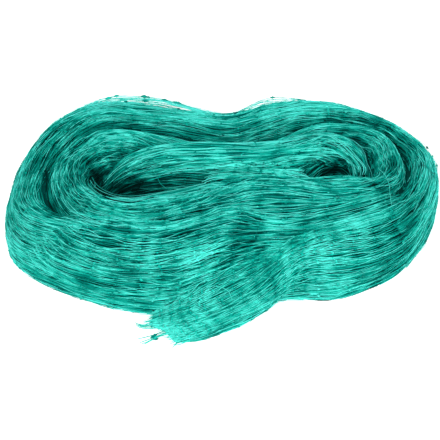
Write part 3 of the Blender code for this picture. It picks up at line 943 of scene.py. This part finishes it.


def buildLooseSheet(facts, skin):
    # the gathered net itself, in pleats along its length
    rings, outward = skin["places"][::facts["every"]], skin["out"][::facts["every"]]
    share = np.arange(rings.shape[1]) / rings.shape[1]
    lap = np.linspace(0, 1, len(rings))[:, None]
    wave = np.cos(2 * math.pi * (facts["pleats"] * share + facts["pleatTurn"] * lap))
    places = rings - outward * (facts["inset"] - facts["pleatHeight"] * wave)[:, :, None]
    places[:, :, 2] = np.maximum(places[:, :, 2], facts["lowest"])
    count, length = places.shape[1], len(rings)
    number = np.arange(length * count).reshape(length, count)
    a, b = number[:-1], number[1:]
    sides = np.stack([a, np.roll(a, -1, 1), np.roll(b, -1, 1), b], 2).reshape(-1, 4)
    points = np.concatenate([places.reshape(-1, 3), [places[0].mean(0), places[-1].mean(0)]])
    u, v = np.meshgrid(np.linspace(0, 1, length), share, indexing="ij")
    flatMap = np.stack([u, v], 2).reshape(-1, 2)
    sideMap = flatMap[sides]
    seam = (sideMap[:, :, 1] == 0) & (sideMap[:, :, 1].max(1, keepdims=True) > 0.5)
    sideMap[:, :, 1] = np.where(seam, 1, sideMap[:, :, 1])
    faces, maps = [sides.ravel()], [sideMap.reshape(-1, 2)]
    first, last = number[0], number[-1]
    for end, (rim, following) in enumerate(((np.roll(first, -1), first), (last, np.roll(last, -1)))):
        cap = np.stack([rim, following, np.full(count, length * count + end)], 1)
        faces.append(cap.ravel())
        maps.append(np.concatenate([flatMap[cap[:, :2]], np.full((count, 1, 2), end)], 1).reshape(-1, 2))
    sizes = np.concatenate([np.full(len(sides), 4), np.full(2 * count, 3)])
    middle, pleat, ends = facts["tones"]
    # painted shade and light: dark all over, paler on the raised pleats and darker in the folds
    tone = np.concatenate([(middle + pleat * wave).ravel(), [ends, ends]])
    return buildMesh("looseSheet", points, np.concatenate(faces), sizes, np.concatenate(maps), tone)


looseGrid = loosePlaces(looseShape)
looseSkin = makeSkin(looseGrid, outwardOf(looseGrid, False, True), [hankTree], False, True)
looseSheet = finishPiece(buildLooseSheet(looseNet["sheet"], looseSkin), coreFinish)
looseLay = dict(netLay, layers=netLay["layers"][1:3], buried=looseNet["buried"])
looseThreads = layNet("looseBody", looseSkin, looseNet, looseLay, tree=hankTree, covers=covers[:1])
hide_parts("loose_end")
print("cut end laid")

# Loose net standing off the turns, single hairs, and stray threads.
standingNets = {  # lap and share of the outer turns that each covers, and how far it stands off
    "standingLeft": {"lap": (0.598, 0.712), "share": (0.125, 0.235), "height": 0.8, "strands": 38,
                     "rows": 4, "knotSize": 2.1, "knotReach": 6, "seed": 41},
    "standingRight": {"lap": (0.722, 0.797), "share": (0.14, 0.22), "height": 4.6, "strands": 18,
                      "rows": 2, "knotSize": 2.6, "knotReach": 6, "seed": 42},
    "standingEdge": {"lap": (0.925, 0.985), "share": (0.1, 0.2), "height": 1.8, "strands": 20,
                     "rows": 3, "knotSize": 1.8, "knotReach": 6, "seed": 43}}
standingShape = {"grid": (25, 13), "peak": 0.8, "edges": 0.35, "sunk": 0.3}
standingLay = dict(netLay, clumps=[(0.9, 30, 4), (1.2, 60, 12)], lumps=[(0.5, 30, 5)], ownHeight=(0.8, 25),
                   knotDark=0.5,
                   layers=[{"name": "Knotted", "threads": 0.25, "depth": 0, "radius": 0.15, "tone": 0.97,
                            "sway": 1.2, "steps": 5, "knots": True},
                           {"name": "Plain", "threads": 1, "depth": 1.0, "radius": 0.12, "tone": 1.05,
                            "sway": 1.6, "steps": 5, "knots": False}])


def standingSkin(net, skin, shape):
    # part of a winding's skin, blown out like a slack pleat
    lap, share = np.meshgrid(*(np.linspace(*net[key], count)
                               for key, count in zip(("lap", "share"), shape["grid"])), indexing="ij")
    u, v = np.meshgrid(*(np.linspace(0, 1, count) for count in shape["grid"]), indexing="ij")
    out = readGrid(skin["out"], lap, share, True)
    across = shape["edges"] + (1 - shape["edges"]) * np.sin(math.pi * v)
    off = net["height"] * np.sin(math.pi * u) ** shape["peak"] * across - shape["sunk"]
    return makeSkin(readGrid(skin["places"], lap, share, True) + out * off[..., None], out, [hankTree])


for name, net in standingNets.items():
    layNet(name, standingSkin(net, windingSkins["outerTurns"], standingShape), net, standingLay)
print("standing net laid")

hairs = {"count": 90, "points": 12, "start": (0.02, 0.9), "length": (12, 50), "share": (0.02, 0.42),
         "drift": 0.025, "sway": 0.012, "waves": (1, 2.5), "height": (0.5, 2.4), "skew": (0.7, 1.4),
         "clear": 0.1, "lowest": 3, "radius": (0.09, 0.14), "tone": 0.86, "toneSpread": 0.08, "seed": 51}


def layHairs(setup, skins):
    # single fine threads that lift off the turns and come back to them
    rng = np.random.default_rng(setup["seed"])
    drift, sway, u = setup["drift"], setup["sway"], np.linspace(0, 1, setup["points"])[None, :]
    paths, normals = [], []
    for k in range(setup["count"]):
        skin = skins[k % len(skins)]
        lap = rng.uniform(*setup["start"]) + rng.uniform(*setup["length"]) / skin["length"] * u
        share = rng.uniform(*setup["share"]) + rng.uniform(-drift, drift) * u
        share = share + rng.uniform(-sway, sway) * np.sin(math.pi * rng.uniform(*setup["waves"]) * u)
        out = readGrid(skin["out"], lap, share, True)
        lift = rng.uniform(*setup["height"]) * np.sin(math.pi * u ** rng.uniform(*setup["skew"]))
        off = (lift + setup["clear"])[..., None]
        paths.append((readGrid(skin["places"], lap, share, True) + out * off)[0])
        normals.append(out[0])
    paths, normals = np.array(paths), np.array(normals)
    keep = paths[:, :, 2] > setup["lowest"]
    radius = rng.uniform(*setup["radius"], (len(paths), 1)) * np.ones(keep.shape)
    tone = setup["tone"] + rng.normal(0, setup["toneSpread"], (len(paths), 1)) * np.ones(keep.shape)
    return threadMesh("hairs", paths, normals, keep, radius, tone)


strays = [  # pixels it runs through, radius, tone and how far it stands off, in mm
    ([(90, 180), (94, 186), (101, 191), (114, 196), (128, 198), (141, 197), (161, 193), (181, 189),
      (206, 183)], 0.34, 1.0, 1.6),
    ([(88, 184), (95, 191), (106, 197), (127, 201), (145, 200), (166, 196), (190, 190), (214, 183)],
     0.3, 0.95, 1.4),
    ([(92, 177), (97, 185), (106, 191), (118, 195), (132, 196), (150, 194), (172, 190)], 0.24, 0.85, 1.2),
    # the next four, of tone 0, are painted shadow: dark lines under the lips of the eyes and in the slit at
    # the left-hand end
    ([(102, 196), (113, 200), (124, 202), (134, 202), (144, 200), (154, 197)], 0.5, 0.0, 1.0),
    ([(322, 178), (330, 179), (338, 179), (345, 178)], 0.45, 0.0, 1.0),
    ([(320, 180.5), (327, 181.5), (334, 181)], 0.4, 0.0, 1.0),
    ([(46, 166), (46, 180), (47.5, 194), (49.5, 204), (53, 211), (58, 216)], 0.46, 0.0, 0.5),
    ([(146, 167), (152, 170), (157, 176), (160, 183), (167, 189)], 0.16, 0.8, 2.0),
    ([(312, 135), (329, 136), (344, 146), (354, 156), (361, 163), (364, 169), (362, 175)], 0.34, 1.0, 1.6),
    ([(308, 138), (327, 139), (342, 148), (352, 157), (359, 165), (361, 170), (360, 176)], 0.3, 0.95, 1.4),
    ([(316, 134), (332, 136), (348, 147), (358, 158), (364, 165), (366, 170), (364, 175)], 0.26, 0.95, 1.4),
    ([(300, 158), (320, 156), (335, 156), (345, 159), (351, 164), (354, 175)], 0.26, 0.97, 1.2),
    ([(304, 155), (322, 153), (338, 154), (348, 159), (354, 166), (356, 175)], 0.24, 0.95, 1.2),
    ([(378, 168), (385, 175), (389, 184), (390, 194), (392, 207)], 0.2, 0.92, 1.8),
    ([(398, 140), (408, 148), (415, 156), (417, 163), (415, 169)], 0.2, 0.85, 1.5),
    ([(205, 287), (214, 286), (223, 288), (229, 292), (232, 300)], 0.2, 0.95, 1.4),
    ([(240, 278), (250, 277), (262, 277), (272, 279)], 0.16, 0.88, 1.0),
    ([(106, 181), (112, 173), (121, 165), (132, 158), (150, 151), (172, 147)], 0.26, 0.97, 1.4),
    ([(104, 183), (110, 177), (119, 169), (132, 162), (154, 156)], 0.24, 0.95, 1.2),
    ([(109, 184), (117, 177), (127, 170), (144, 164), (166, 160)], 0.22, 0.9, 1.2),
    ([(60, 196), (68, 208), (80, 216), (94, 222), (104, 225)], 0.26, 0.98, 1.0),
    ([(66, 200), (76, 211), (88, 218), (100, 223), (110, 226)], 0.26, 0.98, 1.0)]
tipThreads = [  # the same, for threads of the cut edge that run out over the floor
    ([(190, 310), (172, 318), (158, 323), (146, 325), (138, 324), (135, 322)], 0.36, 0.85, 0.6),
    ([(192, 313), (174, 320), (160, 325), (149, 327), (141, 326.5), (136, 324)], 0.36, 0.8, 0.5),
    ([(188, 316), (171, 323), (158, 327), (148, 328.5), (140, 327.5), (136, 325)], 0.34, 0.9, 0.4),
    ([(194, 310), (176, 316), (162, 320), (151, 322.5), (144, 325), (138, 326)], 0.32, 0.88, 0.5),
    ([(186, 308), (170, 313), (160, 317), (153, 320), (149, 321.5), (145, 321)], 0.32, 0.85, 0.5),
    ([(186, 313), (170, 320), (158, 324), (150, 325.5), (144, 326), (139, 325)], 0.34, 0.82, 0.5),
    ([(188, 320), (172, 327.5), (164, 331), (155, 334.5), (146, 337), (137, 339)], 0.34, 0.75, 0.4),
    ([(190, 322), (176, 329), (165, 333), (156, 336.5), (147, 340), (139, 343)], 0.32, 0.7, 0.4),
    ([(192, 325), (178, 331), (168, 334), (158, 337), (150, 341), (144, 344.5)], 0.32, 0.75, 0.4),
    ([(186, 324), (174, 330), (163, 334.5), (155, 337.5), (148, 341.5), (141, 344)], 0.3, 0.8, 0.4),
    ([(196, 332), (186, 338), (179, 342), (175, 345), (173, 347), (172, 348)], 0.28, 0.85, 0.4),
    ([(210, 330), (198, 336), (188, 341), (181, 344), (177, 345), (174, 345)], 0.28, 0.9, 0.4)]
strayKnots = [  # pixel, length and breadth in mm
    ((155, 335), 2.0, 1.3), ((152.5, 337), 1.8, 1.2), ((156, 339), 2.0, 1.2), ((153, 322), 1.2, 0.8)]


strayLay = {"stepsPerPixel": 12, "samples": 28, "bridges": 40, "limit": 30.0, "endThickness": 0.5,
            "rest": {"strays": 1.2, "tipThreads": 1.0}, "knotTone": 0.4, "knotWay": (-0.9, -0.4, 0.0),
            "knotProud": 0.3}


def layStrays(name, threads, trees, setup):
    # threads through pixels, taut over hollows, each drawn where it is seen
    samples = setup["samples"]
    thinned = np.interp(np.arange(samples), [0, 2, samples - 3, samples - 1],
                        [setup["endThickness"], 1, 1, setup["endThickness"]])
    paths, radius, tone = [], [], []
    for pixels, thick, shade, proud in threads:
        course = smoothRows(pixels, setup["stepsPerPixel"], False)
        reach = np.r_[0, np.cumsum(np.linalg.norm(np.diff(course, axis=0), axis=1))]
        even = np.linspace(0, reach[-1], samples)
        course = np.stack([np.interp(even, reach, course[:, axis]) for axis in range(2)], 1)
        paths.append(drape(course, trees, setup["bridges"], setup["limit"], proud, setup["rest"][name]))
        radius.append(thick * thinned)
        tone.append(np.full(samples, shade))
    paths = np.array(paths)
    thing = threadMesh(name, paths, unit(eyePlace - paths), np.ones(paths.shape[:2], bool),
                       np.array(radius), np.array(tone))
    return finishPiece(thing, threadFinish)


def layTipKnots(knots, setup):
    count = len(knots)
    places = drape([pixel for pixel, _, _ in knots], [looseTree], soften=0, proud=setup["knotProud"])
    return knotMesh("tipKnots", places, np.tile(setup["knotWay"], (count, 1)),
                    np.tile([0, 0, 1.0], (count, 1)),
                    np.array([(long, wide, wide) for _, long, wide in knots]),
                    np.full(count, setup["knotTone"]))


finishPiece(layHairs(hairs, list(windingSkins.values())), threadFinish)
layStrays("strays", strays, [hankTree, looseTree] + tops, strayLay)
layStrays("tipThreads", tipThreads, [looseTree], strayLay)
finishPiece(layTipKnots(strayKnots, strayLay), threadFinish)
print("strays laid")

bpy.context.view_layer.update()
